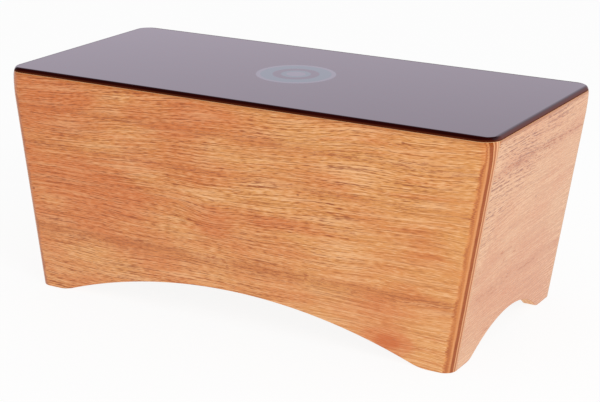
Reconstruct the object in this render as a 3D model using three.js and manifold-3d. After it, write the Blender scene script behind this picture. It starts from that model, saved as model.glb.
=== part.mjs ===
// A lap bongo cajon: a plywood box with a small and a large chamber, open below, with leaning ends,
// arched lower edges and a thin glossy plate on top that is played with the hands.
// Millimetres, +Z up. The origin is on the floor under the middle of the box, +X runs along its
// length to the large chamber, and the front is at -Y.
import * as THREE from "three";
import { mergeVertices } from "three/addons/utils/BufferGeometryUtils.js";
import Module from "manifold-3d";

// Outside of the box. The two lengths are those of sharp corners, before the rounding.
const LENGTH_TOP = 501;
const LENGTH_FLOOR = 438;
const WIDTH = 229;
const HEIGHT = 212;
const CORNER_RADIUS = 11;

// The upright corners grow rounder over their last stretch below the plate.
const TOP_CORNER_RADIUS = 16.5;
const TOP_CORNER_REACH = 26;

// The top edge is rounded over in a quarter of an ellipse, so far in and so far down.
const TOP_EDGE_INSET = 4;
const TOP_EDGE_DROP = 8;

// Boards.
const PLATE_THICKNESS = 4;
const PANEL_THICKNESS = 12;
const DIVIDER_THICKNESS = 9;
const DIVIDER_X = -40;
const DIVIDER_ABOVE_CREST = 6;

// Arches in the lower edges: height of the crest, radius of each toe and length of each flat foot.
const FRONT_ARCH_CREST = 34;
const FRONT_TOE_RADIUS = 49;
const FRONT_FOOT_LENGTH = 22;
const END_ARCH_CREST = 26;
const END_TOE_RADIUS = 20;
const END_FOOT_LENGTH = 32;

// Sticks of square section inside the box.
const BATTEN_SIZE = 15;
const CORNER_BLOCK_SIZE = 15;
const CORNER_BLOCK_ABOVE_FLOOR = 20;
const CLEAT_SIZE = 12;
const CLEAT_ABOVE_DIVIDER_FOOT = 6;

// The glue line between a stick and the leaning end panel.
const GLUE_LINE = 0.3;

// Smoothness of the rounded shapes, and the least radius that a rounded corner keeps.
const CORNER_STEPS = 10;
const TOP_CORNER_STEPS = 4;
const TOP_EDGE_STEPS = 8;
const ARC_STEPS = 16;
const LEAST_RADIUS = 0.5;

// How far a cutting shape runs past what it cuts.
const OVERRUN = 5;

const LARGE = 1;
const SMALL = -1;

const underPlate = HEIGHT - PLATE_THICKNESS;
const underBatten = underPlate - BATTEN_SIZE;
const insideY = WIDTH / 2 - PANEL_THICKNESS;
const battenY = insideY - BATTEN_SIZE;
const blockY = insideY - CORNER_BLOCK_SIZE;
const cleatY = insideY - CLEAT_SIZE;
const dividerFoot = FRONT_ARCH_CREST + DIVIDER_ABOVE_CREST;
const endLean = Math.atan((LENGTH_TOP - LENGTH_FLOOR) / 2 / HEIGHT);

const wasm = await Module();
wasm.setup();

// Outer face of the right end at a height above the floor, as its distance from the middle.
function outsideX(z) {
  return LENGTH_FLOOR / 2 + z * Math.tan(endLean);
}

// Inner face of the right end panel.
function insideX(z) {
  return outsideX(z) - PANEL_THICKNESS / Math.cos(endLean);
}

// Where a stick that is glued to the right end panel begins.
function gluedX(z) {
  return insideX(z) - GLUE_LINE / Math.cos(endLean);
}

// The face of the divider that a chamber sees.
function dividerFace(chamber) {
  return DIVIDER_X + (chamber * DIVIDER_THICKNESS) / 2;
}

// Radius of the upright corners at a height above the floor.
function cornerRadius(z) {
  const share = Math.min(Math.max(1 - (underPlate - z) / TOP_CORNER_REACH, 0), 1);
  return CORNER_RADIUS + (TOP_CORNER_RADIUS - CORNER_RADIUS) * share ** 2;
}

function toSolid(geometry) {
  const bare = geometry.clone();
  bare.deleteAttribute("normal");
  bare.deleteAttribute("uv");
  const merged = mergeVertices(bare);
  return new wasm.Manifold(
    new wasm.Mesh({
      numProp: 3,
      vertProperties: merged.getAttribute("position").array,
      triVerts: new Uint32Array(merged.index.array),
    }),
  );
}

function toGeometry(solid) {
  const { vertProperties, triVerts } = solid.getMesh();
  const indexed = new THREE.BufferGeometry();
  indexed.setAttribute("position", new THREE.BufferAttribute(vertProperties, 3));
  indexed.setIndex(new THREE.BufferAttribute(triVerts, 1));
  const geometry = indexed.toNonIndexed();
  geometry.computeVertexNormals();
  return geometry;
}

// A board or stick whose outline is drawn in X and Z, and which reaches from one Y to another.
function prism(shape, nearY, farY) {
  const depth = 1;
  const options = { depth, bevelEnabled: false, curveSegments: ARC_STEPS };
  const geometry = new THREE.ExtrudeGeometry(shape, options);
  const position = geometry.getAttribute("position");
  for (let i = 0; i < position.count; i++) {
    const y = position.getZ(i) > depth / 2 ? nearY : farY;
    position.setXYZ(i, position.getX(i), y, position.getY(i));
  }
  geometry.computeVertexNormals();
  return geometry;
}

function outline(points) {
  return new THREE.Shape(points.map(([x, z]) => new THREE.Vector2(x, z)));
}

function rectangle(lowX, highX, lowZ, highZ) {
  return outline([
    [lowX, lowZ],
    [highX, lowZ],
    [highX, highZ],
    [lowX, highZ],
  ]);
}

// One level of the outside of the box: a rectangle with round corners, counterclockwise from above.
function ring(inset, z) {
  const halfX = outsideX(z) - inset;
  const halfY = WIDTH / 2 - inset;
  const radius = Math.max(cornerRadius(z) - inset, LEAST_RADIUS);
  const points = [];
  for (let corner = 0; corner < 4; corner++) {
    const x = (corner === 0 || corner === 3 ? 1 : -1) * (halfX - radius);
    const y = (corner < 2 ? 1 : -1) * (halfY - radius);
    for (let i = 0; i <= CORNER_STEPS; i++) {
      const angle = ((corner + i / CORNER_STEPS) * Math.PI) / 2;
      points.push([x + radius * Math.cos(angle), y + radius * Math.sin(angle), z]);
    }
  }
  return points;
}

// A closed skin through a stack of rings.
function loft(rings) {
  const count = rings[0].length;
  const top = (rings.length - 1) * count;
  const index = [];
  for (let low = 0; low < top; low += count) {
    const high = low + count;
    for (let i = 0; i < count; i++) {
      const next = (i + 1) % count;
      index.push(low + i, low + next, high + next);
      index.push(low + i, high + next, high + i);
    }
  }
  for (let i = 1; i + 1 < count; i++) {
    index.push(0, i + 1, i);
    index.push(top, top + i, top + i + 1);
  }
  const geometry = new THREE.BufferGeometry();
  geometry.setAttribute("position", new THREE.Float32BufferAttribute(rings.flat(2), 3));
  geometry.setIndex(index);
  return geometry;
}

// The whole box as if it were carved from one block, with its upright corners and top edge rounded.
function wholeBlock() {
  const rings = [ring(0, 0)];
  const growthStart = underPlate - TOP_CORNER_REACH;
  const edgeStart = HEIGHT - TOP_EDGE_DROP;
  for (let i = 0; i < TOP_CORNER_STEPS; i++) {
    rings.push(ring(0, growthStart + ((edgeStart - growthStart) * i) / TOP_CORNER_STEPS));
  }
  for (let i = 0; i <= TOP_EDGE_STEPS; i++) {
    const turn = ((i / TOP_EDGE_STEPS) * Math.PI) / 2;
    const drop = TOP_EDGE_DROP * (1 - Math.sin(turn));
    const inset = TOP_EDGE_INSET * (1 - Math.cos(turn));
    rings.push(ring(inset, HEIGHT - drop));
  }
  return toSolid(loft(rings));
}

// The space under an arched edge: a toe, a wide arc and a toe that run smoothly into each other.
function archSpace(halfSpan, crest, toe) {
  const radius = (halfSpan * halfSpan + crest * crest) / (2 * crest) - toe;
  const swing = Math.asin(halfSpan / (radius + toe));
  const down = -Math.PI / 2;
  const up = Math.PI / 2;
  const shape = new THREE.Shape();
  shape.moveTo(-halfSpan, -OVERRUN);
  shape.lineTo(-halfSpan, 0);
  shape.absarc(-halfSpan, toe, toe, down, down + swing, false);
  shape.absarc(0, crest - radius, radius, up + swing, up - swing, true);
  shape.absarc(halfSpan, toe, toe, down - swing, down, false);
  shape.lineTo(halfSpan, -OVERRUN);
  shape.closePath();
  return shape;
}

const block = wholeBlock();
const blockReach = LENGTH_TOP / 2 + OVERRUN;

function playingSurface() {
  const layer = rectangle(-blockReach, blockReach, underPlate, HEIGHT + OVERRUN);
  return toGeometry(block.intersect(toSolid(prism(layer, -WIDTH, WIDTH))));
}

// The front panel covers the edges of both end panels, so its own plies show at the corners.
function frontPanel() {
  const blank = rectangle(-blockReach, blockReach, -OVERRUN, underPlate);
  const board = block.intersect(toSolid(prism(blank, -WIDTH, -insideY)));
  const halfSpan = LENGTH_FLOOR / 2 - FRONT_FOOT_LENGTH;
  const space = archSpace(halfSpan, FRONT_ARCH_CREST, FRONT_TOE_RADIUS);
  return toGeometry(board.subtract(toSolid(prism(space, -WIDTH, 0))));
}

// The right end panel stands between the front and back panels and leans in towards the floor.
function endPanel() {
  const blank = outline([
    [insideX(-OVERRUN), -OVERRUN],
    [blockReach, -OVERRUN],
    [blockReach, underPlate],
    [insideX(underPlate), underPlate],
  ]);
  const board = block.intersect(toSolid(prism(blank, -insideY, insideY)));
  const halfSpan = WIDTH / 2 - END_FOOT_LENGTH;
  const space = prism(archSpace(halfSpan, END_ARCH_CREST, END_TOE_RADIUS), -blockReach, blockReach);
  space.rotateZ(Math.PI / 2);
  return toGeometry(board.subtract(toSolid(space)));
}

function divider() {
  const face = rectangle(dividerFace(SMALL), dividerFace(LARGE), dividerFoot, underPlate);
  return prism(face, -insideY, insideY);
}

// A batten under the plate, along the front or back panel, from the divider to a leaning end.
function longBatten(chamber, nearY, farY) {
  const section = outline([
    [dividerFace(chamber), underBatten],
    [chamber * gluedX(underBatten), underBatten],
    [chamber * gluedX(underPlate), underPlate],
    [dividerFace(chamber), underPlate],
  ]);
  return prism(section, nearY, farY);
}

// A stick glued along the right end panel, with two sides cut to its lean.
function leaningStick(size, lowZ, highZ, nearY, farY) {
  const across = size / Math.cos(endLean);
  const section = outline([
    [gluedX(lowZ) - across, lowZ],
    [gluedX(lowZ), lowZ],
    [gluedX(highZ), highZ],
    [gluedX(highZ) - across, highZ],
  ]);
  return prism(section, nearY, farY);
}

function endBatten() {
  return leaningStick(BATTEN_SIZE, underBatten, underPlate, -battenY, battenY);
}

function cornerBlock(nearY, farY) {
  return leaningStick(CORNER_BLOCK_SIZE, CORNER_BLOCK_ABOVE_FLOOR, underBatten, nearY, farY);
}

// An upright cleat in the corner between the divider and the front or back panel.
function cleat(chamber, nearY, farY) {
  const face = dividerFace(chamber);
  const free = face + chamber * CLEAT_SIZE;
  const foot = dividerFoot + CLEAT_ABOVE_DIVIDER_FOOT;
  const section = rectangle(Math.min(face, free), Math.max(face, free), foot, underBatten);
  return prism(section, nearY, farY);
}

const lacquer = new THREE.MeshStandardMaterial({ color: 0x2d0a0c, roughness: 0.08, metalness: 0 });
const veneer = new THREE.MeshStandardMaterial({ color: 0xd6965f, roughness: 0.45, metalness: 0 });
const birch = new THREE.MeshStandardMaterial({ color: 0xd9b787, roughness: 0.7, metalness: 0 });
const pine = new THREE.MeshStandardMaterial({ color: 0xdcc08e, roughness: 0.75, metalness: 0 });

function mesh(name, geometry, material) {
  const made = new THREE.Mesh(geometry, material);
  made.name = name;
  return made;
}

// The front and back panels are alike, and the back one is turned half round.
function longPanels() {
  const group = new THREE.Group();
  const geometry = frontPanel();
  const back = mesh("back_panel", geometry, veneer);
  back.rotation.z = Math.PI;
  group.add(mesh("front_panel", geometry, veneer), back);
  return group;
}

// One leaning end with the block in each of its corners. The left end is the right one turned half round.
function end(side) {
  const group = new THREE.Group();
  const turned = side === "left";
  const near = turned ? "back" : "front";
  const far = turned ? "front" : "back";
  group.add(
    mesh(`${side}_end_panel`, endPanel(), veneer),
    mesh(`end_batten_${turned ? "small" : "large"}`, endBatten(), pine),
    mesh(`corner_block_${near}_${side}`, cornerBlock(-insideY, -blockY), pine),
    mesh(`corner_block_${far}_${side}`, cornerBlock(blockY, insideY), pine),
  );
  group.rotation.z = turned ? Math.PI : 0;
  return group;
}

// The sticks that line the front and back of one chamber.
function chamberSticks(chamber) {
  const group = new THREE.Group();
  const size = chamber === LARGE ? "large" : "small";
  group.add(
    mesh(`front_batten_${size}`, longBatten(chamber, -insideY, -battenY), pine),
    mesh(`back_batten_${size}`, longBatten(chamber, battenY, insideY), pine),
    mesh(`divider_cleat_front_${size}`, cleat(chamber, -insideY, -cleatY), pine),
    mesh(`divider_cleat_back_${size}`, cleat(chamber, cleatY, insideY), pine),
  );
  return group;
}

const cajon = new THREE.Group();
cajon.add(
  mesh("playing_surface", playingSurface(), lacquer),
  longPanels(),
  end("left"),
  end("right"),
  mesh("divider", divider(), birch),
  chamberSticks(SMALL),
  chamberSticks(LARGE),
);

export default cajon;
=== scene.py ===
import math

import bmesh
import bpy
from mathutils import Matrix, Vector


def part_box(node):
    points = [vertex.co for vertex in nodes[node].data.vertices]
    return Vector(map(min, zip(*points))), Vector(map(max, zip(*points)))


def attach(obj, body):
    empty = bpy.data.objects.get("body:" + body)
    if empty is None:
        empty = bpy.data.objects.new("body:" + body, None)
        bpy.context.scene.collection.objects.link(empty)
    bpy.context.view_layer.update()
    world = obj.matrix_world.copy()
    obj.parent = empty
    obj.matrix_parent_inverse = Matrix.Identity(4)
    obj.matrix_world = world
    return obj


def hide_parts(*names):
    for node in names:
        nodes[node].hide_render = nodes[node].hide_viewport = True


# The looks of a lap bongo cajon: veneered panels with their plies showing at the corners, a plate
# under dark high-gloss lacquer, and bare wood inside. Metres and radians, +Z up, the front at -Y.

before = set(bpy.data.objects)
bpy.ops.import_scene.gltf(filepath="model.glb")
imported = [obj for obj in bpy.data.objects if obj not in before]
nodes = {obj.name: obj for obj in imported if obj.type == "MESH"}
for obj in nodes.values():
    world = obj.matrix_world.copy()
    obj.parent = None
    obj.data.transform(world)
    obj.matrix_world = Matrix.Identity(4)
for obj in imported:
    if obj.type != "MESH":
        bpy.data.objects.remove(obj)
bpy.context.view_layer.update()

MM = 0.001

# Outside of the box. The two lengths are those of sharp corners, before the rounding.
LENGTH_TOP = 501 * MM
LENGTH_FLOOR = 438 * MM

# The upright corners keep one radius up to a reach below the plate, and grow rounder from there.
CORNER_RADIUS = 11 * MM
TOP_CORNER_RADIUS = 16.5 * MM
TOP_CORNER_REACH = 26 * MM

# The rounded top edge is a quarter of an ellipse, this far in and this far down.
TOP_EDGE_INSET = 4 * MM
TOP_EDGE_DROP = 8 * MM

# Arches in the lower edges: height of the crest, radius of each toe and length of each flat foot.
FRONT_ARCH = {"crest": 34 * MM, "toe": 49 * MM, "foot": 22 * MM}
END_ARCH = {"crest": 26 * MM, "toe": 20 * MM, "foot": 32 * MM}

# Sandpaper takes this much off the edges of the panels and of the wood inside.
PANEL_EASING = 0.7 * MM
STICK_EASING = 0.9 * MM
DIVIDER_EASING = 0.5 * MM

# Smoothness of the rounded shapes.
CORNER_STEPS = 24
TOP_CORNER_LEVELS = 8
TOP_EDGE_STEPS = 14
FOOT_STEPS = 4
EASING_STEPS = 5
TOE_STEPS = 14
ARCH_STEPS = 64
STICK_EASING_STEPS = 3
SHARP_ANGLE = math.radians(35)

# Points this close together are one. Shorter edges, closer slices and flatter folds are left out.
WELD = 0.004 * MM
SLIVER = WELD / 10
SLICE_GAP = WELD * 5
FLAT_ANGLE = math.radians(1)

plate_low, plate_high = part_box("playing_surface")
front_low, front_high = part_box("front_panel")
under_plate = plate_low.z
height = plate_high.z
outside_y = -front_low.y
inside_y = -front_high.y
panel_thickness = outside_y - inside_y
top_edge_start = height - TOP_EDGE_DROP
end_lean = math.atan((LENGTH_TOP - LENGTH_FLOOR) / 2 / height)
end_thickness = panel_thickness / math.cos(end_lean)


def outside_x(z):
    """Outer face of the right end at a height, as its distance from the middle."""
    return LENGTH_FLOOR / 2 + z * math.tan(end_lean)


def turn_at(radius, inset):
    """How far round a rounded edge lies the point that is drawn in by an inset."""
    return math.acos(1 - min(inset, radius) / radius)


def corner_radius(z):
    """Radius of the upright corners at a height."""
    share = min(max(1 - (under_plate - z) / TOP_CORNER_REACH, 0), 1)
    return CORNER_RADIUS + (TOP_CORNER_RADIUS - CORNER_RADIUS) * share**2


# How far the rounded top edge has drawn in where the plate starts, and how far the roundest
# corners cut into the end panels.
share_of_drop = (under_plate - top_edge_start) / TOP_EDGE_DROP
top_edge_inset = TOP_EDGE_INSET * (1 - math.sqrt(1 - share_of_drop**2))
corner_past_panel = TOP_CORNER_RADIUS - panel_thickness
corner_cut = TOP_CORNER_RADIUS - math.sqrt(TOP_CORNER_RADIUS**2 - corner_past_panel**2)


# Panels

def eased_by(depth, thickness):
    """How much sandpaper has taken off an edge, at a depth below the outer face."""
    to_face = min(depth, thickness - depth)
    turn = turn_at(PANEL_EASING, to_face)
    return PANEL_EASING * (1 - math.sin(turn))


def side_levels(depth, eased):
    """Heights up the side of a slice below the outer face, each with the inset of the box there."""
    levels = []
    foot_turn = turn_at(PANEL_EASING, depth)
    for i in range(FOOT_STEPS + 1):
        turn = foot_turn * (1 - (i / FOOT_STEPS) ** 2)
        z = PANEL_EASING * (1 - math.sin(turn))
        levels.append((max(z, eased), PANEL_EASING * (1 - math.cos(turn))))
    corner_start = under_plate - TOP_CORNER_REACH
    for i in range(TOP_CORNER_LEVELS):
        levels.append((corner_start + (top_edge_start - corner_start) * i / TOP_CORNER_LEVELS, 0))
    top_turn = turn_at(TOP_EDGE_INSET, min(depth, top_edge_inset))
    for i in range(TOP_EDGE_STEPS + 1):
        turn = top_turn * (1 - (1 - i / TOP_EDGE_STEPS) ** 2)
        z = top_edge_start + TOP_EDGE_DROP * math.sin(turn)
        levels.append((z, TOP_EDGE_INSET * (1 - math.cos(turn))))
    return levels


def arch_line(arch, half_length, eased):
    """The lower edge from foot to foot, as points of its run and height."""
    half_span = half_length - arch["foot"]
    toe = arch["toe"]
    crest = arch["crest"]
    radius = (half_span**2 + crest**2) / (2 * crest) - toe
    swing = math.asin(half_span / (radius + toe))
    left_toe = []
    for i in range(TOE_STEPS):
        turn = swing * i / TOE_STEPS
        run = -half_span + (toe - eased) * math.sin(turn)
        left_toe.append((run, toe - (toe - eased) * math.cos(turn)))
    middle = []
    for i in range(ARCH_STEPS + 1):
        turn = swing * (2 * i / ARCH_STEPS - 1)
        run = (radius + eased) * math.sin(turn)
        middle.append((run, crest - radius + (radius + eased) * math.cos(turn)))
    right_toe = [(-run, z) for run, z in reversed(left_toe)]
    return left_toe + middle + right_toe


def round_part(radius, inset, depth):
    """How far past its centre an upright corner reaches, in a slice below the outer face."""
    short = max(radius - depth, 0)
    return math.sqrt(max((radius - inset) ** 2 - short**2, 0))


def outline(arch, half_length, eased, side):
    """A slice's whole outline: the arch, up the right side, and down the left one."""
    return arch_line(arch, half_length, eased) + side + [(-run, z) for run, z in reversed(side)]


def front_slice(depth):
    """The front panel's outline at a depth below its outer face."""
    eased = eased_by(depth, panel_thickness)
    side = []
    for z, inset in side_levels(depth, eased):
        radius = corner_radius(z)
        side.append((outside_x(z) - radius + round_part(radius, inset, depth), z))
    line = outline(FRONT_ARCH, LENGTH_FLOOR / 2, eased, side)
    return [Vector((x, depth - outside_y, z)) for x, z in line]


def end_slice(depth):
    """The right end panel's outline at a depth below its outer face."""
    eased = eased_by(depth, end_thickness)
    side = []
    for z, inset in side_levels(depth, eased):
        radius = corner_radius(z)
        reach = outside_y - radius + round_part(radius, inset, depth)
        side.append((min(inside_y, reach), z))
    line = outline(END_ARCH, outside_y, eased, side)
    return [Vector((outside_x(z) - depth, y, z)) for y, z in line]


def round_depths(radius, reach, steps):
    """Depths that divide a rounded edge into even turns, up to a reach."""
    whole = turn_at(radius, reach)
    return [radius * (1 - math.cos(whole * i / steps)) for i in range(steps + 1)]


def slice_depths(thickness, *rounded):
    """Depths of a panel's slices: those of its rounded outer edges and of its eased inner ones."""
    easing = round_depths(PANEL_EASING, PANEL_EASING, EASING_STEPS)
    found = set(easing) | {thickness - depth for depth in easing}
    for depths in rounded:
        found |= set(depths)
    kept = []
    for depth in sorted(found):
        if not kept or depth - kept[-1] > SLICE_GAP:
            kept.append(depth)
    kept[-1] = thickness
    return kept


def panel(name, slice_at, depths, half_turned):
    """A closed board through its slices, as it stands or turned half round."""
    sign = -1 if half_turned else 1
    mesh = bmesh.new()
    rings = []
    for depth in depths:
        points = [Vector((sign * p.x, sign * p.y, p.z)) for p in slice_at(depth)]
        rings.append([mesh.verts.new(p) for p in points])
    count = len(rings[0])
    for near, far in zip(rings, rings[1:]):
        for i in range(count):
            j = (i + 1) % count
            mesh.faces.new((near[i], near[j], far[j], far[i]))
    mesh.faces.new(rings[0])
    mesh.faces.new(rings[-1])
    return piece_of(name, mesh)


def placed(name, data):
    """A new object in the scene, made of a mesh, a lamp or a camera."""
    made = bpy.data.objects.new(name, data)
    bpy.context.scene.collection.objects.link(made)
    return made


def piece_of(name, mesh):
    """Welds a mesh, turns its faces out, smooths its round parts and makes it an object."""
    bmesh.ops.remove_doubles(mesh, verts=mesh.verts, dist=WELD)
    bmesh.ops.dissolve_degenerate(mesh, edges=mesh.edges, dist=SLIVER)
    bmesh.ops.recalc_face_normals(mesh, faces=mesh.faces)
    data = bpy.data.meshes.new(name)
    mesh.to_mesh(data)
    mesh.free()
    data.shade_smooth()
    data.set_sharp_from_angle(angle=SHARP_ANGLE)
    return placed(name, data)


def eased_copy(name, node, easing):
    """A piece of wood as the frame has it, with its edges taken off with sandpaper."""
    mesh = bmesh.new()
    mesh.from_mesh(nodes[node].data)
    bmesh.ops.remove_doubles(mesh, verts=mesh.verts, dist=WELD)
    bmesh.ops.dissolve_limit(mesh, angle_limit=FLAT_ANGLE, verts=mesh.verts, edges=mesh.edges)
    bmesh.ops.bevel(
        mesh,
        geom=mesh.edges[:],
        offset=easing,
        offset_type="OFFSET",
        segments=STICK_EASING_STEPS,
        profile=0.5,
        affect="EDGES",
    )
    return piece_of(name, mesh)


# Node trees, for materials and for shapes

class Wire:
    """An output of a node. Sums on it add Math nodes to its tree."""

    def __init__(self, tree, socket):
        self.tree = tree
        self.socket = socket

    def __add__(self, other):
        return self.tree.maths("ADD", self, other)

    def __radd__(self, other):
        return self.tree.maths("ADD", other, self)

    def __sub__(self, other):
        return self.tree.maths("SUBTRACT", self, other)

    def __rsub__(self, other):
        return self.tree.maths("SUBTRACT", other, self)

    def __mul__(self, other):
        return self.tree.maths("MULTIPLY", self, other)

    def __rmul__(self, other):
        return self.tree.maths("MULTIPLY", other, self)

    def __truediv__(self, other):
        return self.tree.maths("DIVIDE", self, other)

    def __rtruediv__(self, other):
        return self.tree.maths("DIVIDE", other, self)


class Tree:
    """A node tree in the making, which starts empty."""

    def __init__(self, nodes_and_links):
        self.tree = nodes_and_links
        self.tree.nodes.clear()

    def node(self, kind, settings=None, sockets=None, gives=None):
        """Adds a node, sets its settings and then its sockets, and returns one output."""
        made = self.tree.nodes.new(kind)
        for name, value in (settings or {}).items():
            if name == "stops":
                self.set_stops(made.color_ramp, value)
            else:
                setattr(made, name, value)
        for name, value in (sockets or {}).items():
            socket = next(s for s in made.inputs if s.identifier == name)
            for each in value if isinstance(value, list) else [value]:
                if isinstance(each, Wire):
                    self.tree.links.new(each.socket, socket)
                else:
                    socket.default_value = each
        if not made.outputs:
            return None
        if gives:
            return Wire(self, next(s for s in made.outputs if s.identifier == gives))
        return Wire(self, next(s for s in made.outputs if s.enabled))

    @staticmethod
    def set_stops(ramp, stops):
        """Gives a ramp its colours, each at its place from 0 to 1."""
        while len(ramp.elements) < len(stops):
            ramp.elements.new(1)
        for element, (place, colour) in zip(ramp.elements, stops):
            element.position = place
            element.color = colour

    def maths(self, operation, first, second=0):
        """One sum. An operation that takes one number leaves the second out."""
        sockets = {"Value": first, "Value_001": second}
        return self.node("ShaderNodeMath", {"operation": operation}, sockets)

    def smooth(self, value, low, high):
        """A soft step from 0 to 1 as the value goes from low to high."""
        sockets = {"Value": value, "From Min": low, "From Max": high}
        return self.node("ShaderNodeMapRange", {"interpolation_type": "SMOOTHSTEP"}, sockets)

    def vector(self, x, y, z):
        """A vector of three numbers."""
        return self.node("ShaderNodeCombineXYZ", {}, {"X": x, "Y": y, "Z": z})

    def part(self, vector, axis):
        """One number of a vector, by the letter of its axis."""
        return self.node("ShaderNodeSeparateXYZ", {}, {"Vector": vector}, axis)

    def length(self, x, y):
        """The length of a flat vector."""
        sockets = {"Vector": self.vector(x, y, 0)}
        return self.node("ShaderNodeVectorMath", {"operation": "LENGTH"}, sockets)

    def at_least(self, share, lowest):
        """A share from 0 to 1, squeezed so that it doesn't fall below its lowest."""
        return share * (1 - lowest) + lowest

    def blend(self, share, first, second):
        """A colour between two others: the first where the share is 0, the second where it is 1."""
        sockets = {"Factor_Float": share, "A_Color": first, "B_Color": second}
        return self.node("ShaderNodeMix", {"data_type": "RGBA"}, sockets, "Result_Color")

    def seen_by(self, kind):
        """1 where a ray of a kind looks, such as Camera or Glossy, and 0 for other rays."""
        return self.node("ShaderNodeLightPath", gives=f"Is {kind} Ray")


class Finish(Tree):
    """A material in the making, on Object coordinates in millimetres."""

    def __init__(self, name):
        self.material = bpy.data.materials.new(name)
        self.material.use_nodes = True
        super().__init__(self.material.node_tree)
        place = self.node("ShaderNodeTexCoord", gives="Object")
        sockets = {"Vector": place, "Scale": 1 / MM}
        self.place = self.node("ShaderNodeVectorMath", {"operation": "SCALE"}, sockets)

    def along(self, direction, start=0.0):
        """Millimetres along a direction, from where a start in metres lies."""
        sockets = {"Vector": self.place, "Vector_001": tuple(direction)}
        return self.node("ShaderNodeVectorMath", {"operation": "DOT_PRODUCT"}, sockets) - start / MM

    def noise(self, place, detail, roughness=0.5):
        """Soft random values round 0.5 with one swell in each unit of the place."""
        sockets = {"Vector": place, "Scale": 1.0, "Detail": detail, "Roughness": roughness}
        return self.node("ShaderNodeTexNoise", {}, sockets, "Fac")

    def pattern(self, grain, along, across, shift=0):
        """One part of a grain, along and across the fibres, shifted from its neighbours'."""
        seed = grain["seed"] + shift
        place = self.vector(along / grain["length"], across / grain["width"], seed)
        return self.noise(place, grain["detail"], grain.get("roughness", 0.5))

    def layers(self, depth, thickness, bands):
        """Layers through a board: each band has the depths of its start and end, and its colour."""
        stops = [(at / thickness, colour) for start, end, colour in bands for at in (start, end)]
        share = depth / thickness
        return self.node("ShaderNodeValToRGB", {"stops": stops}, {"Fac": share}, "Color")

    def bump(self, relief, distance):
        """Small bumps and pits: a relief of 1 stands a distance in metres out of the surface."""
        sockets = {"Height": relief, "Distance": distance, "Strength": 1.0}
        return self.node("ShaderNodeBump", {}, sockets)

    def done(self, sockets):
        """Ends the material in one surface with these sockets."""
        surface = self.node("ShaderNodeBsdfPrincipled", {}, sockets, "BSDF")
        self.node("ShaderNodeOutputMaterial", {}, {"Surface": surface})
        return self.material


def paint(red, green, blue):
    """A colour as a paint chart gives it, from 0 to 255, for a node socket."""
    def linear(level):
        level = level / 255
        return level / 12.92 if level <= 0.04045 else ((level + 0.055) / 1.055) ** 2.4
    return (linear(red), linear(green), linear(blue), 1.0)


def grey(level):
    """A plain grey of one brightness, for a node socket."""
    return (level, level, level, 1)


# Materials: their lengths are in millimetres, except where a comment says metres

# Each part of a grain is a soft random pattern, with its length along the fibres, its width across
# them, a seed of its own, how much fine detail it has, and in some how rough that is. The widths of
# the long and the short pores are counted in the pore width of a tone.
SWAY = {"length": 160, "width": 70, "seed": 0, "detail": 1.0}
RIPPLE = {"length": 45, "width": 12, "seed": 7, "detail": 1.0}
CLOUDS = {"length": 85, "width": 34, "seed": 11, "detail": 2.0}
STREAKS = {"length": 75, "width": 5, "seed": 3, "detail": 2.0}
CROWDS = {"length": 80, "width": 9, "seed": 9, "detail": 2.0}
LONG_PORES = {"length": 75, "width": 1, "seed": 5, "detail": 2.0}
SHORT_PORES = {"length": 8, "width": 1 / 1.3, "seed": 6, "detail": 1.0}

# A pair of numbers says where something starts and where it is complete, in the values of its
# pattern or in millimetres. A share says how strongly it covers the colour below.
GOLDEN = (0.2, 0.76)
LIGHT_STREAK = (0.48, 0.72)
LIGHT_STREAK_SHARE = 0.6
RED_STREAK = (0.46, 0.28)
RED_STREAK_SHARE = 0.45
LIGHT_FIBRE = (0.5, 0.62)
LIGHT_FIBRE_SHARE = 0.85
OPEN_PORE = (0.5, 0.38)
CROWDED_PORES = (0.3, 0.7)
BARE_FIBRE = (0.35, 0.65)
BARE_STREAK = (0.35, 0.7)
BARE_STREAK_SHARE = 0.4

# How much of the fibres the long pores make up, how strong all pores are where they are sparse, and
# how strong the light streaks and fibres are where the veneer is red.
LONG_PORES_SHARE = 0.55
SPARSE_PORES_SHARE = 0.65
LIGHT_IN_RED = 0.45

# How high the sway and the ripple lift the fibres, and between which heights the slant sets in.
SWAY_LIFT = 16
RIPPLE_LIFT = 1.4
SLANT_REACH = (70, 180)

# Pin knots: how far apart they are along and up, their seed, and their edge in those distances.
KNOT_SPACING = (62, 44)
KNOT_SEED = 2
KNOT_EDGE = (0.04, 0.015)
KNOT_SHARE = 0.7

# Where painted bounce light from the floor lightens the veneer below, where it turns red above,
# and where it turns dark in a line where it meets the plate.
VENEER_TOP = under_plate / MM
PAINTED_BOUNCE_BELOW = (130, 10)
RED_ABOVE = (VENEER_TOP - 23, VENEER_TOP - 1)
RED_ABOVE_SHARE = 0.04
SHADE_LINE = (VENEER_TOP - 4, VENEER_TOP - 0.5)

# A stain sets in where the yellowness is this low.
STAIN_REACH = (0.05, -0.3)
STAIN_SHARE = 0.65

# The sander has cut through the face veneer round the upright corners, less so in some places and
# in the uppermost stretch. The veneer ends there in a torn, dark seam, which is wide at the foot,
# and faint from above the foot to half way up.
VENEER = 0.45
VENEER_EDGE = 0.1
SEAM_WAVES = {"length": 34, "width": 1, "seed": 3, "detail": 3.0, "roughness": 0.6}
SEAM_WANDERED = (0.3, 0.7)
SEAM_WANDER = 1.1
SPARED_ABOVE = (VENEER_TOP - 32, VENEER_TOP - 1)
SPARED_AT_TOP = 1.5
SEAM_TORN = 0.8
TORN_FIBRE = (0.4, 0.6)
SEAM_START = 0.4
SEAM_END = 1.1
FOOT_SEAM_END = 2.4
FOOT_SEAM_REACH = (38, 18)
SEAM_FAINT_BELOW = (140, 120)
SEAM_FAINT_ABOVE = (20, 40)
SEAM_FAINTNESS = 0.25
SEAM_STRONG = (0.9, 0.2)
SEAM_LEAST_SHARE = 0.5

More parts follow.
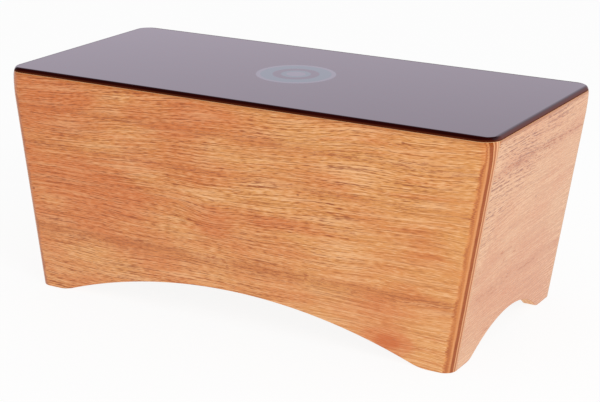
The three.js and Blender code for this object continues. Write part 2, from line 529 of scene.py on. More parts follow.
# It has also left the plies a little wavy, and rubbed the veneer's edge to an even orange.
SANDER_WAVES = {"length": 9, "width": 9, "seed": 13, "detail": 3.0}
EDGE_WOBBLE = 0.5
RUBBED_DEPTH = (0.04, 0.6)
RUBBED_SHARE = 0.45

# Lines along the plies: how long they are, and how many lie in a millimetre of depth.
PLY_LINE_LENGTH = 9
PLY_LINES_PER_MM = 2.2
PLY_LINE = (0.35, 0.7)
PLY_LINE_SHARE = 0.4

# Faces that lean further than this from upright show their plies as a lower edge does.
LOWER_EDGE_TILT = (0.35, 0.7)

# How rough the lacquer is, and how much rougher the wood is where it has none or has fibres. The
# pores' depth is in metres, and the fibres stand out by a part of it.
LACQUER_ROUGHNESS = 0.22
BARE_ROUGHNESS = 0.45
FIBRE_ROUGHNESS = 0.1
PORE_DEPTH = 0.07 * MM
FIBRE_RELIEF = 0.4

SHADE_LINE_BROWN = paint(150, 84, 46)
STAIN_RED = paint(198, 94, 34)
RUBBED_ORANGE = paint(198, 114, 56)
SEAM_BROWN = paint(168, 86, 36)
PLY_LINE_BROWN = paint(182, 106, 54)
BARE_TAN = paint(212, 176, 130)
BARE_PALE = paint(232, 205, 163)
BARE_BROWN = paint(205, 165, 118)

# What sets the two veneers apart: their colours, how strong the pores are, how much fainter they
# turn, on which slope and between which heights, how wide they are, how the fibres slant, how dark
# the line below the plate is, how much painted bounce light lightens the lower part, and how the
# red fades along the panel.
FRONT_TONE = {
    "red": paint(208, 114, 51),
    "yellow": paint(217, 147, 77),
    "light": paint(238, 183, 131),
    "pore": paint(144, 60, 0),
    "pore_share": 0.95,
    "pore_fade": 0.5,
    "faint_lean": 0.8,
    "faint_reach": (60, -60),
    "pore_width": 0.9,
    "slant": 0.07,
    "shaded": 0.3,
    "painted_bounce": 0.14,
    "fade": 0.001,
}
# The end's colours are paler than the front's: partly the veneer's own, partly painted sheen that
# stands in for the pale reflection on the ends.
END_TONE_AND_SHEEN = {
    "red": paint(206, 138, 94),
    "yellow": paint(212, 156, 112),
    "light": paint(225, 173, 130),
    "pore": paint(138, 60, 18),
    "pore_share": 1.0,
    "pore_fade": 0.8,
    "faint_lean": 0.5,
    "faint_reach": (210, 120),
    "pore_width": 1.7,
    "slant": 0.0,
    "shaded": 0.65,
    "painted_bounce": 0.0,
    "fade": 0.0,
}

# Marks in the veneer of the front and of the right end: place along and up, reach each way, how
# red they are, or how yellow where that is below zero, and how far they push the fibres up. The
# front's first is the curl round a hidden knot, and its second is the stain by the arch. Each
# starts at one part of its reach and is complete at another.
MARK_EDGE = (1.0, 0.1)
FRONT_MARKS = [
    {"place": (-24, 100), "reach": (40, 24), "red": 0.3, "push": 5},
    {"place": (158, 17), "reach": (34, 16), "red": 0.95, "push": 2},
    {"place": (-180, 138), "reach": (90, 34), "red": -0.02},
    {"place": (-30, 165), "reach": (110, 40), "red": -0.08},
    {"place": (165, 60), "reach": (90, 90), "red": 0.2},
    {"place": (62, 106), "reach": (70, 9), "red": 0.2},
    {"place": (-150, 92), "reach": (80, 38), "red": 0.24},
    {"place": (-170, 28), "reach": (95, 48), "red": -0.24},
]
END_MARKS = [
    {"place": (20, 20), "reach": (150, 100), "red": 0.4},
    # This mark, the yellower patch by the front corner, is partly the veneer's own colour and
    # partly a painted highlight along that edge.
    {"place": (-115, 140), "reach": (45, 90), "red": -0.4},
    {"place": (100, 90), "reach": (60, 50), "red": -0.2},
]


def side_plies():
    """The plies as the upright edges show them: depths of their start and end, and their colour."""
    pale = paint(226, 168, 124)
    return [
        (0.0, 2.0, paint(200, 124, 62)),
        (2.4, 3.1, paint(212, 142, 86)),
        (3.8, 5.9, paint(144, 62, 0)),
        (6.3, 6.8, paint(222, 160, 110)),
        (7.2, 8.5, paint(172, 102, 58)),
        (9.0, 10.2, pale),
        (10.6, 11.3, paint(190, 130, 92)),
        (11.7, 12.0, pale),
    ]


def lower_plies_and_bounce():
    """The plies as the lower edges show them: lighter, as their fibres lie along them, and lighter
    still with painted bounce light from the floor.
    """
    light = paint(246, 194, 146)
    brown = paint(226, 166, 114)
    return [
        (0.0, 3.0, light),
        (3.6, 4.6, brown),
        (5.2, 7.6, light),
        (8.2, 8.2, brown),
        (9.2, 12.0, light),
    ]


class Plywood(Finish):
    """Veneered plywood, on its depth below the outer face, its place sideways and its height."""

    def __init__(self, name, outward, face_distance, sideways, shift, tone, marks):
        """Starts the grain of a panel, which a shift makes different from its neighbours'."""
        super().__init__(name)
        self.tone = tone
        self.shift = shift
        self.thickness = panel_thickness / MM
        self.depth = self.along(outward, face_distance) * -1
        self.sideways = self.along(sideways)
        self.run = self.sideways + shift
        self.up = self.along((0, 0, 1))
        self.lay_fibres(marks)
        self.open_pores()
        self.sand_edges()

    def grain(self, which, across):
        """One part of this panel's grain, at a height or at one that is bent as the fibres are."""
        return self.pattern(which, self.run, across, self.shift)

    def lay_fibres(self, marks):
        """Slow waves bend all the fibres, and marks push them aside and turn them redder."""
        sway = self.grain(SWAY, self.up) * SWAY_LIFT
        ripple = self.grain(RIPPLE, self.up) * RIPPLE_LIFT
        slant = self.sideways * self.smooth(self.up, *SLANT_REACH) * self.tone["slant"]
        self.across = self.up + sway + ripple - slant
        self.yellowness = self.grain(CLOUDS, self.up) + self.sideways * self.tone["fade"]
        self.yellowness = self.yellowness - self.smooth(self.up, *RED_ABOVE) * RED_ABOVE_SHARE
        for mark in marks:
            aside = (self.sideways - mark["place"][0]) / mark["reach"][0]
            above = (self.up - mark["place"][1]) / mark["reach"][1]
            near = self.smooth(self.length(aside, above), *MARK_EDGE)
            self.yellowness = self.yellowness - near * mark["red"]
            if "push" in mark:
                self.across = self.across + near * mark["push"]

    def open_pores(self):
        """Long and short pores between the fibres, crowded in some places and sparse in others."""
        self.streaks = self.grain(STREAKS, self.across)
        finely = self.across / self.tone["pore_width"]
        long_pores = self.grain(LONG_PORES, finely) * LONG_PORES_SHARE
        short_pores = self.grain(SHORT_PORES, finely) * (1 - LONG_PORES_SHARE)
        self.fibres = long_pores + short_pores
        crowded = self.smooth(self.grain(CROWDS, self.across), *CROWDED_PORES)
        slope = self.up - self.sideways * self.tone["faint_lean"]
        faint = self.smooth(slope, *self.tone["faint_reach"]) * self.tone["pore_fade"]
        self.pores = self.smooth(self.fibres, *OPEN_PORE)
        self.pores = self.pores * self.at_least(crowded, SPARSE_PORES_SHARE) * (1 - faint)

    def sand_edges(self):
        """How deep the wood lies below what the sander has left of the veneer."""
        normal = self.node("ShaderNodeNewGeometry", gives="Normal")
        tilt = self.maths("ABSOLUTE", self.part(normal, "Z"))
        self.under = self.smooth(tilt, *LOWER_EDGE_TILT)
        wobble = self.grain(SANDER_WAVES, self.up) * EDGE_WOBBLE - EDGE_WOBBLE / 2
        self.wavy_depth = self.depth + wobble
        seam_waves = self.pattern(SEAM_WAVES, self.up, self.shift)
        self.wander = self.smooth(seam_waves, *SEAM_WANDERED)
        spared = self.wander * SEAM_WANDER + self.smooth(self.up, *SPARED_ABOVE) * SPARED_AT_TOP
        torn = self.smooth(self.fibres, *TORN_FIBRE) * SEAM_TORN
        self.below_veneer = self.wavy_depth - VENEER - (spared - torn) * (1 - self.under)

    def outer_veneer(self):
        """Clouds and streaks of a redder and a yellower tan, and dark pores in light fibres."""
        tone = self.tone
        golden = self.smooth(self.yellowness, *GOLDEN)
        lighter = self.at_least(golden, LIGHT_IN_RED)
        face = self.blend(golden, tone["red"], tone["yellow"])
        light_streaks = self.smooth(self.streaks, *LIGHT_STREAK) * lighter * LIGHT_STREAK_SHARE
        face = self.blend(light_streaks, face, tone["light"])
        red_streaks = self.smooth(self.streaks, *RED_STREAK) * RED_STREAK_SHARE
        face = self.blend(red_streaks, face, tone["red"])
        # Painted bounce light: the lower part of the veneer is lightened as light from the floor
        # would.
        painted_bounce = self.smooth(self.up, *PAINTED_BOUNCE_BELOW) * tone["painted_bounce"]
        face = self.blend(painted_bounce, face, tone["light"])
        light_fibres = self.smooth(self.fibres, *LIGHT_FIBRE) * lighter * LIGHT_FIBRE_SHARE
        face = self.blend(light_fibres, face, tone["light"])
        face = self.blend(self.pores * tone["pore_share"], face, tone["pore"])
        face = self.blend(self.knots() * KNOT_SHARE, face, tone["pore"])

        # Where the veneer is reddest, a stain hides its grain.
        stain = self.smooth(self.yellowness, *STAIN_REACH) * STAIN_SHARE
        face = self.blend(stain, face, STAIN_RED)
        shade = self.smooth(self.up, *SHADE_LINE) * tone["shaded"]
        face = self.blend(shade, face, SHADE_LINE_BROWN)
        rubbed = self.smooth(self.depth, *RUBBED_DEPTH) * (1 - self.under) * RUBBED_SHARE
        return self.blend(rubbed, face, RUBBED_ORANGE)

    def knots(self):
        """A few dark pin knots."""
        aside, above = KNOT_SPACING
        place = self.vector(self.run / aside, self.up / above, self.shift + KNOT_SEED)
        sockets = {"Vector": place, "Scale": 1.0, "Randomness": 1.0}
        spot = self.node("ShaderNodeTexVoronoi", {}, sockets, "Distance")
        return self.smooth(spot, *KNOT_EDGE)

    def plies(self):
        """The plies at the upright and the lower edges, with the veneer's seam and fine lines."""
        sides = self.layers(self.wavy_depth, self.thickness, side_plies())
        # The lower edges' plies are lighter partly with painted bounce light from the floor.
        lower = self.layers(self.wavy_depth, self.thickness, lower_plies_and_bounce())
        at_foot = self.smooth(self.up, *FOOT_SEAM_REACH)
        seam_end = at_foot * (FOOT_SEAM_END - SEAM_END) + SEAM_END
        above_foot = self.smooth(self.up, *SEAM_FAINT_ABOVE)
        above_foot = above_foot * self.smooth(self.up, *SEAM_FAINT_BELOW)
        strength = self.at_least(self.smooth(self.wander, *SEAM_STRONG), SEAM_LEAST_SHARE)
        strength = strength - above_foot * SEAM_FAINTNESS
        seam = self.smooth(self.below_veneer, seam_end, SEAM_START) * strength
        both = self.blend(self.under, self.blend(seam, sides, SEAM_BROWN), lower)
        down = self.depth * PLY_LINES_PER_MM
        place = self.vector(self.run / PLY_LINE_LENGTH, down, self.up / PLY_LINE_LENGTH)
        lines = self.smooth(self.noise(place, detail=3.0, roughness=0.65), *PLY_LINE)
        return self.blend(lines * PLY_LINE_SHARE, both, PLY_LINE_BROWN)

    def inner_veneer(self):
        """The same fibres without stain or lacquer."""
        bare = self.blend(self.smooth(self.fibres, *BARE_FIBRE), BARE_TAN, BARE_PALE)
        streaks = self.smooth(self.streaks, *BARE_STREAK) * BARE_STREAK_SHARE
        return self.blend(streaks, bare, BARE_BROWN)


def veneered(name, outward, face_distance, sideways, shift, tone, marks):
    """Orange-tan pored veneer outside, bare veneer inside and plies at the edges."""
    wood = Plywood(name, outward, face_distance, sideways, shift, tone, marks)
    on_face = wood.smooth(wood.below_veneer, VENEER_EDGE, -VENEER_EDGE)
    inner_face = wood.thickness - VENEER
    inside = wood.smooth(wood.depth, inner_face - VENEER_EDGE, inner_face)
    colour = wood.blend(on_face, wood.plies(), wood.outer_veneer())
    bare = wood.maths("MAXIMUM", inside, wood.under)
    return wood.done({
        "Base Color": wood.blend(inside, colour, wood.inner_veneer()),
        "Roughness": bare * BARE_ROUGHNESS + wood.fibres * FIBRE_ROUGHNESS + LACQUER_ROUGHNESS,
        "IOR": 1.5,
        "Normal": wood.bump(wood.fibres * FIBRE_RELIEF - wood.pores, PORE_DEPTH),
    })


# The plate's lacquer

# The plain print in the middle of the top: a disc with a rim, and in it a dark ring round a dot.
PRINT_CENTRE = (-2.5, 4)
PRINT_RADIUS = 37.4
PRINT_RIM_RADIUS = PRINT_RADIUS - 4
PRINT_RING_RADII = (14, 22)
PRINT_DOT_RADIUS = 9
PRINT_SOFTNESS = 0.3
PRINT_BLUE = paint(58, 90, 96)
PRINT_GREY = paint(96, 96, 106)
PRINT_DARK = paint(48, 34, 44)

# Heights above the panels between which the dark lacquer thins out and the bare underside starts.
THIN_COAT = (2.6, 0.4)
BARE_BELOW = (0.25, 0.15)

# The gloss is rubbed off the edge, from a thin line where the flat top ends, and the plate's ends
# are browner. Each pair of numbers is of distances past the flat top.
RUBBED_LINE = (-1.8, -0.6)
RUBBED_OFF_SIDE = 0.9
RUBBED_OFF_END = 0.35
BROWN_END = (0.2, 2.2)
BROWN_END_SHARE = 0.6

COAT_DARK = paint(32, 4, 4)
COAT_RED = paint(42, 7, 6)
COAT_THIN = paint(84, 34, 16)
COAT_BROWN = paint(98, 48, 34)
COAT_GRAIN = {"length": 60, "width": 2.2, "seed": 4, "detail": 3.0, "roughness": 0.6}
COAT_STREAK = (0.3, 0.7)
UNDERSIDE_GRAIN = {"length": 45, "width": 2.0, "seed": 8, "detail": 3.0, "roughness": 0.6}
UNDERSIDE_PALE = paint(228, 196, 150)


def printed(coat, x, y, colour):
    """The ringed print, laid over the lacquer's colour."""
    out = coat.length(x - PRINT_CENTRE[0], y - PRINT_CENTRE[1])

    def disc(radius):
        return coat.smooth(out, radius + PRINT_SOFTNESS, radius - PRINT_SOFTNESS)

    inner, outer = PRINT_RING_RADII
    colour = coat.blend(disc(PRINT_RADIUS), colour, PRINT_BLUE)
    colour = coat.blend((1 - disc(PRINT_RIM_RADIUS)) * disc(PRINT_RADIUS), colour, PRINT_GREY)
    colour = coat.blend((1 - disc(inner)) * disc(outer), colour, PRINT_DARK)
    return coat.blend(disc(PRINT_DOT_RADIUS), colour, PRINT_GREY)


def lacquered():
    """Dark red-brown gloss on the plate's top and edge, a ringed print, and bare wood below."""
    coat = Finish("plate_lacquer")
    x = coat.along((1, 0, 0))
    y = coat.along((0, 1, 0))
    above_wood = coat.along((0, 0, 1), under_plate)
    past_side = coat.maths("ABSOLUTE", y) - (outside_y - TOP_EDGE_INSET) / MM
    past_end = coat.maths("ABSOLUTE", x) - (outside_x(height) - TOP_EDGE_INSET) / MM

    streaks = coat.smooth(coat.pattern(COAT_GRAIN, x, y), *COAT_STREAK)
    colour = coat.blend(streaks, COAT_DARK, COAT_RED)
    thin_coat = coat.smooth(above_wood, *THIN_COAT)
    colour = coat.blend(thin_coat, colour, COAT_THIN)
    colour = printed(coat, x, y, colour)
    colour = coat.blend(coat.smooth(past_end, *BROWN_END) * BROWN_END_SHARE, colour, COAT_BROWN)

    bare = coat.blend(coat.pattern(UNDERSIDE_GRAIN, x, y), BARE_BROWN, UNDERSIDE_PALE)
    below = coat.smooth(above_wood, *BARE_BELOW)

    rubbed_side = coat.smooth(past_side, *RUBBED_LINE) * RUBBED_OFF_SIDE
    rubbed_end = coat.smooth(past_end, *RUBBED_LINE) * RUBBED_OFF_END
    rubbed = coat.maths("MAXIMUM", rubbed_side, rubbed_end)
    missing = coat.maths("MAXIMUM", coat.maths("MAXIMUM", thin_coat, below), rubbed)
    return coat.done({
        "Base Color": coat.blend(below, colour, bare),
        "Roughness": 0.66,
        "Specular IOR Level": 0.0,
        "Coat Weight": 1 - missing,
        "Coat Roughness": 0.04,
        "Coat IOR": 1.5,
    })


# Wood inside

# The divider's plies: how many there are, which part of each is the joint to the next, and
# between which depths the face gives way to them.
PLY_COUNT = 7
PLY_JOINT = 0.08
PLY_FACE = (0.7, 0.5)

# The fibres' relief, in metres.
FIBRE_DEPTH = 0.05 * MM

BIRCH_GRAIN = {"length": 50, "width": 4, "seed": 2, "detail": 3.0, "roughness": 0.6}
BIRCH_GRAIN_START = 150
BIRCH_CLOUD = (0.3, 0.72)
BIRCH_FIBRES = {"length": 9, "width": 0.8, "seed": 5, "detail": 2.0}
BIRCH_STREAK = (0.35, 0.7)
BIRCH_STREAK_SHARE = 0.4
BIRCH_LIGHT = paint(226, 192, 145)
BIRCH_DARK = paint(205, 164, 115)
BIRCH_FIBRE = paint(238, 212, 170)
BIRCH_PLIES = (paint(228, 192, 144), paint(176, 124, 78))


def bare_plywood():
    """Sanded birch plywood, whose plies show where the divider ends below."""
    ply = Finish("divider_plywood")
    low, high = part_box("divider")
    x = ply.along((1, 0, 0), low.x)
    y = ply.along((0, 1, 0))
    z = ply.along((0, 0, 1))
    thickness = (high.x - low.x) / MM
    clouds = ply.smooth(ply.pattern(BIRCH_GRAIN, z + BIRCH_GRAIN_START, y), *BIRCH_CLOUD)
    fibres = ply.pattern(BIRCH_FIBRES, z, y)
    streaks = ply.smooth(fibres, *BIRCH_STREAK) * BIRCH_STREAK_SHARE
    face = ply.blend(clouds, BIRCH_LIGHT, BIRCH_DARK)
    face = ply.blend(streaks, face, BIRCH_FIBRE)
    step = thickness / PLY_COUNT
    bands = []
    for i in range(PLY_COUNT):
        bands.append(((i + PLY_JOINT) * step, (i + 1 - PLY_JOINT) * step, BIRCH_PLIES[i % 2]))
    edge = ply.layers(x, thickness, bands)
    deep, shallow = PLY_FACE
    near_face = ply.smooth(x, deep, shallow)
    far_face = ply.smooth(x, thickness - deep, thickness - shallow)
    return ply.done({
        "Base Color": ply.blend(near_face + far_face, edge, face),
        "Roughness": 0.7,
        "Normal": ply.bump(fibres, FIBRE_DEPTH),
    })


# Pine: how wide a year's ring is, how far from the rings' centre the middle of the box lies, and
# how far the rings bend.
YEAR_RING = 2.6
PITH_AWAY = (31, 23)
RING_BEND = 6
RING_BENDS = {"length": 90, "width": 40, "seed": 0, "detail": 1.0}

# In each ring the late wood darkens slowly, and ends at once.
LATE_WOOD = (0.45, 0.95)
LATE_WOOD_END = (1.0, 0.96)
LATE_WOOD_SHARE = 0.75
PINE_FIBRE_LENGTH = 14
PINE_FIBRE_WIDTH = 0.7
PINE_STREAK = (0.35, 0.75)
PINE_STREAK_SHARE = 0.35
PINE_EARLY = paint(230, 200, 150)
PINE_LATE = paint(190, 138, 82)
PINE_FIBRE = paint(240, 216, 172)


def planed_pine(name, run, across, shift):
    """Planed softwood with its year rings, bent slowly along the stick."""
    pine = Finish(name)
    along = pine.along(run) + shift
    side = pine.along(across)
    other = pine.along(Vector(run).cross(Vector(across)))
    bend = pine.pattern(RING_BENDS, along, side, shift) * RING_BEND
    radius = pine.length(side + PITH_AWAY[0], other + PITH_AWAY[1]) + bend
    year = pine.maths("FRACT", radius / YEAR_RING)
    late = pine.smooth(year, *LATE_WOOD) * pine.smooth(year, *LATE_WOOD_END)
    finely = (side / PINE_FIBRE_WIDTH, other / PINE_FIBRE_WIDTH)
    fibres = pine.noise(pine.vector(along / PINE_FIBRE_LENGTH, *finely), detail=2.0)
    colour = pine.blend(late * LATE_WOOD_SHARE, PINE_EARLY, PINE_LATE)
    streaks = pine.smooth(fibres, *PINE_STREAK) * PINE_STREAK_SHARE
    colour = pine.blend(streaks, colour, PINE_FIBRE)
    return pine.done({
        "Base Color": colour,
        "Roughness": 0.66,
        "Normal": pine.bump(fibres + late, FIBRE_DEPTH),
    })


# The playing plate, as a shape that follows a rule

PLATE_MEASURES = {
    "Length": 2 * outside_x(under_plate),
    "Width": 2 * outside_y,
    "Corner Radius": TOP_CORNER_RADIUS,
    "Edge Inset": TOP_EDGE_INSET,
    "Edge Drop": TOP_EDGE_DROP,
    "Under": under_plate,
    "Top": height,
    "Lean": end_lean,
}


def plate_outline(tree, given):
    """The plate's outline at its underside, with rounded corners."""
    sockets = {"Width": given["Length"], "Height": given["Width"]}
    line = tree.node("GeometryNodeCurvePrimitiveQuadrilateral", {}, sockets)
    sockets = {"Curve": line, "Count": CORNER_STEPS, "Radius": given["Corner Radius"]}
    line = tree.node("GeometryNodeFilletCurve", {"mode": "POLY"}, sockets)
    return tree.node("GeometryNodeSetCurveNormal", {"mode": "Z_UP"}, {"Curve": line})


def plate_edge(tree, given):
    """The rounded edge: a stretch of an ellipse, from the plate's underside to its flat top."""
    inset = given["Edge Inset"]
    drop = given["Edge Drop"]
    level = given["Top"] - drop
    start = tree.maths("ARCSINE", (given["Under"] - level) / drop)
    sockets = {
        "Resolution": TOP_EDGE_STEPS + 1,
        "Radius": 1.0,
        "Start Angle": start,
        "Sweep Angle": math.pi / 2 - start,
    }
    edge = tree.node("GeometryNodeCurveArc", {"mode": "RADIUS"}, sockets)
    sockets = {
        "Geometry": edge,
        "Translation": tree.vector(inset * -1, level * -1, 0),
        "Scale": tree.vector(inset, drop * -1, 1),
    }
    return tree.node("GeometryNodeTransform", {}, sockets)


def closed_plate(tree, given, swept):
    """The swept edge with a flat face in each of its two open rings."""
    faces = tree.node("GeometryNodeInputMeshEdgeNeighbors", gives="Face Count")
    z = tree.part(tree.node("GeometryNodeInputPosition"), "Z")
    middle = (given["Under"] + given["Top"]) / 2
    with_one_face = tree.maths("LESS_THAN", faces, 1.5)
    parts = [swept]
    for end, compared in (("Under", "LESS_THAN"), ("Top", "GREATER_THAN")):
        edges = with_one_face * tree.maths(compared, z, middle)
        ring = tree.node("GeometryNodeMeshToCurve", {}, {"Mesh": swept, "Selection": edges})
        flat = tree.node("GeometryNodeFillCurve", {"mode": "NGONS"}, {"Curve": ring})
        sockets = {"Geometry": flat, "Translation": tree.vector(0, 0, given[end])}
        parts.append(tree.node("GeometryNodeTransform", {}, sockets))
    whole = tree.node("GeometryNodeJoinGeometry", {}, {"Geometry": parts})
    return tree.node("GeometryNodeMergeByDistance", {}, {"Geometry": whole, "Distance": WELD})


def leaned_plate(tree, given, plate):
    """The plate with both ends leaning out: each level is a little longer than the one below."""
    place = tree.node("GeometryNodeInputPosition")
    above = tree.part(place, "Z") - given["Under"]
    which_end = tree.maths("SIGN", tree.part(place, "X"))
    stretch = which_end * above * tree.maths("TANGENT", given["Lean"])
    sockets = {"Geometry": plate, "Offset": tree.vector(stretch, 0, 0)}
    return tree.node("GeometryNodeSetPosition", {}, sockets)


def plate_shape():
    """The tree for a plate with round corners, its edge rounded over and its ends leaning out."""
    group = bpy.data.node_groups.new("rounded_over_plate", "GeometryNodeTree")
    ends = group.interface
    for name in PLATE_MEASURES:
        ends.new_socket(name=name, in_out="INPUT", socket_type="NodeSocketFloat")
    ends.new_socket(name="Material", in_out="INPUT", socket_type="NodeSocketMaterial")
    ends.new_socket(name="Plate", in_out="OUTPUT", socket_type="NodeSocketGeometry")
    tree = Tree(group)
    entry = group.nodes.new("NodeGroupInput")
    given = {socket.name: Wire(tree, socket) for socket in entry.outputs if socket.name}

    sockets = {"Curve": plate_outline(tree, given), "Profile Curve": plate_edge(tree, given)}
    swept = tree.node("GeometryNodeCurveToMesh", {}, sockets)
    whole = leaned_plate(tree, given, closed_plate(tree, given, swept))
    whole = tree.node("GeometryNodeRealizeInstances", {}, {"Geometry": whole})
    sockets = {"Geometry": whole, "Material": given["Material"]}
    whole = tree.node("GeometryNodeSetMaterial", {}, sockets)
    tree.node("NodeGroupOutput", {}, {ends.items_tree["Plate"].identifier: whole})
    return group


def grown(name, group, inputs):
    """Runs a geometry tree on nothing, and gives its result as a bmesh."""
    holder = placed(name, bpy.data.meshes.new(name))
    modifier = holder.modifiers.new(name, "NODES")
    modifier.node_group = group
    for item in group.interface.items_tree:
        if item.in_out == "INPUT":
            modifier[item.identifier] = inputs[item.name]
    evaluated = holder.evaluated_get(bpy.context.evaluated_depsgraph_get())
    data = bpy.data.meshes.new_from_object(evaluated)
    mesh = bmesh.new()
    mesh.from_mesh(data)
    bpy.data.objects.remove(holder)
    bpy.data.meshes.remove(data)
    return mesh


# Putting the pieces on the frame

# Where each panel starts in the grain, so that no two match.
PANEL_SHIFTS = {"front": 0, "back": 400, "right": 900, "left": 1300}

# The sticks' pine: the way of its fibres, the way across them, and where it starts.
PINES = {
    "lengthways": ((1, 0, 0), (0, 1, 0), 0),
    "crossways": ((0, 1, 0), (1, 0, 0), 210),
    "upright": ((0, 0, 1), (1, 0, 0), 450),
}


def mount(piece, node, material):
    """Gives a piece its material and its place on the body, in the stead of its CAD node."""
    piece.data.materials.clear()
    piece.data.materials.append(material)
    shading = piece.modifiers.new("even_shading", "WEIGHTED_NORMAL")
    shading.keep_sharp = True
    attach(piece, "root")
    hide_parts(node)


def make_plate():
    """The playing plate at this box's measures, under its lacquer."""
    material = lacquered()
    inputs = PLATE_MEASURES | {"Material": material}
    plate = piece_of("playing_plate", grown("playing_plate", plate_shape(), inputs))
    mount(plate, "playing_surface", material)


def make_long_panels():
    """The front, and the back, which is its shape turned half round."""
    rounded = round_depths(TOP_CORNER_RADIUS, panel_thickness, CORNER_STEPS)
    depths = slice_depths(panel_thickness, rounded)
    for side, turned, marks in (("front", False, FRONT_MARKS), ("back", True, [])):
        outward = (0, 1 if turned else -1, 0)
        shift = PANEL_SHIFTS[side]
        wood = veneered(f"{side}_veneer", outward, outside_y, (1, 0, 0), shift, FRONT_TONE, marks)
        piece = panel(f"{side}_board", front_slice, depths, turned)
        mount(piece, f"{side}_panel", wood)


def make_end_panels():
    """The right end, and the left one, which is its shape turned half round."""
    rounded_top = round_depths(TOP_EDGE_INSET, top_edge_inset, TOP_EDGE_STEPS)
    rounded_sides = round_depths(TOP_CORNER_RADIUS, corner_cut, TOP_CORNER_LEVELS)
    depths = slice_depths(end_thickness, rounded_top, rounded_sides)
    distance = LENGTH_FLOOR / 2 * math.cos(end_lean)
    for side, turned, marks in (("right", False, END_MARKS), ("left", True, [])):
        outward = (math.cos(end_lean) * (-1 if turned else 1), 0, -math.sin(end_lean))
        shift = PANEL_SHIFTS[side]
        name = f"{side}_end"
        wood = veneered(f"{name}_veneer", outward, distance, (0, 1, 0), shift, END_TONE_AND_SHEEN, marks)
        piece = panel(f"{name}_board", end_slice, depths, turned)
        mount(piece, f"{name}_panel", wood)


def make_inside():
    """The divider, and the sticks, each in pine that runs along it."""
    divider = eased_copy("divider_board", "divider", DIVIDER_EASING)
    mount(divider, "divider", bare_plywood())
    pines = {way: planed_pine(f"pine_{way}", *cut) for way, cut in PINES.items()}
    for node in sorted(nodes):
        if "batten" in node:
            way = "crossways" if node.startswith("end") else "lengthways"
        elif "block" in node or "cleat" in node:
            way = "upright"
        else:
            continue
        mount(eased_copy(f"{node}_wood", node, STICK_EASING), node, pines[way])


# Studio

# How white the empty space round the box looks, and how much light it throws on the box.
STUDIO_WHITE = 0.985
FILL_LIGHT = 0.775

# What the gloss shows: a pale cool backdrop behind the box, and dark overhead and in front. Each
# pair says between which directions the backdrop sets in, or falls off to the right.
BACKDROP = (1.1, 1.0, 1.19, 1)
DARK_ROOM = (0.025, 0.025, 0.03, 1)
BACKDROP_TOP = (math.sin(math.radians(53)), math.sin(math.radians(44)))
BACKDROP_FRONT = (-0.25, 0.15)
BACKDROP_RIGHT = (0.1, 0.5)
BACKDROP_FALL = 0.4

# The floor is part glow and part paint that takes the shadow: the paint's share is what the camera
# and the gloss see of it, and the glow's is its part in the light that the floor throws back.
FLOOR_RADIUS = 4.0
FLOOR_SEGMENTS = 96
FLOOR_SHADOW_SHARE = 0.1
FLOOR_GLOW = 0.7
FLOOR_PAINT = 0.9

LAMP_PLACE = (2.2, -1.3, 1.4)
LAMP_SIZE = 1.4
LAMP_POWER = 34

CAMERA_PLACE = (0.7560, -1.3266, 0.5700)
CAMERA_TURN = (72.5220, -0.4602, 29.6521)
CAMERA_LENS = 100.83
CAMERA_SENSOR = 36


def make_camera():
    """The camera, in the place that was fitted to the photograph. Its turn is in degrees."""
    bpy.context.scene.view_settings.view_transform = "Standard"
    data = bpy.data.cameras.new("camera")
    data.lens = CAMERA_LENS
    data.sensor_width = CAMERA_SENSOR
    camera = placed("camera", data)
    camera.location = CAMERA_PLACE
    camera.rotation_euler = [math.radians(turn) for turn in CAMERA_TURN]
    bpy.context.scene.camera = camera


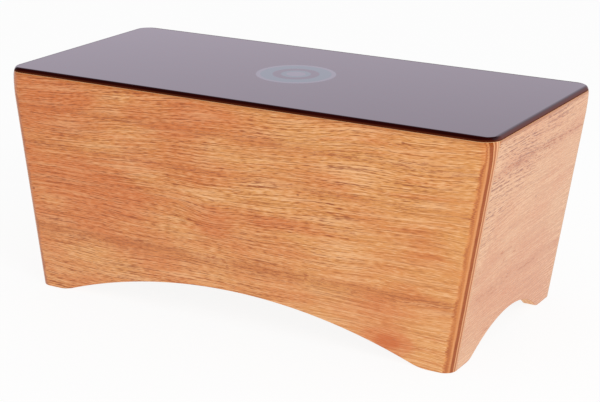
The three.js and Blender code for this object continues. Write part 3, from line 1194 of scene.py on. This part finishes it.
def make_sky():
    """A white studio. Gloss shows its backdrop and, overhead and in front, the dark of the room."""
    world = bpy.data.worlds.new("studio")
    bpy.context.scene.world = world
    world.use_nodes = True
    world.cycles.sampling_method = "NONE"
    tree = Tree(world.node_tree)
    direction = tree.node("ShaderNodeTexCoord", gives="Generated")
    below_top = tree.smooth(tree.part(direction, "Z"), *BACKDROP_TOP)
    behind = tree.smooth(tree.part(direction, "Y"), *BACKDROP_FRONT)
    to_right = tree.smooth(tree.part(direction, "X"), *BACKDROP_RIGHT)
    backdrop = below_top * behind * (1 - to_right * BACKDROP_FALL)
    gloss = tree.blend(backdrop, DARK_ROOM, BACKDROP)
    glow = tree.blend(tree.seen_by("Glossy"), grey(FILL_LIGHT), gloss)
    glow = tree.blend(tree.seen_by("Camera"), glow, grey(STUDIO_WHITE))
    light = tree.node("ShaderNodeBackground", {}, {"Color": glow, "Strength": 1.0})
    tree.node("ShaderNodeOutputWorld", {}, {"Surface": light})


def make_lamp():
    """A large soft lamp to the right of the camera, which the gloss doesn't show."""
    data = bpy.data.lights.new("key_lamp", "AREA")
    data.size = LAMP_SIZE
    data.energy = LAMP_POWER
    lamp = placed("key_lamp", data)
    lamp.location = LAMP_PLACE
    to_box = Vector((0, 0, height / 2)) - Vector(LAMP_PLACE)
    lamp.rotation_euler = to_box.to_track_quat("-Z", "Y").to_euler()
    lamp.visible_glossy = False
    lamp.visible_camera = False


def glowing_floor():
    """White that glows and keeps a faint shadow, and that is clear from below."""
    material = bpy.data.materials.new("studio_floor")
    material.use_nodes = True
    material.cycles.emission_sampling = "NONE"
    tree = Tree(material.node_tree)
    lit = tree.node("ShaderNodeBsdfDiffuse", {}, {"Color": grey(FLOOR_PAINT)})
    white = tree.node("ShaderNodeEmission", {}, {"Color": grey(1), "Strength": 1.0})
    seen = tree.maths("MAXIMUM", tree.seen_by("Camera"), tree.seen_by("Glossy"))
    glow = tree.maths("MAXIMUM", seen * (1 - FLOOR_SHADOW_SHARE), FLOOR_GLOW)
    top = tree.node("ShaderNodeMixShader", {}, {"Fac": glow, "Shader": lit, "Shader_001": white})
    clear = tree.node("ShaderNodeBsdfTransparent")
    below = tree.node("ShaderNodeNewGeometry", gives="Backfacing")
    both = tree.node("ShaderNodeMixShader", {}, {"Fac": below, "Shader": top, "Shader_001": clear})
    tree.node("ShaderNodeOutputMaterial", {}, {"Surface": both})
    return material


def make_floor():
    """A round floor, no part of the object."""
    mesh = bmesh.new()
    bmesh.ops.create_circle(mesh, cap_ends=True, segments=FLOOR_SEGMENTS, radius=FLOOR_RADIUS)
    floor = piece_of("floor", mesh)
    floor.data.materials.append(glowing_floor())


make_camera()
make_sky()
make_lamp()
make_floor()
make_plate()
make_long_panels()
make_end_panels()
make_inside()
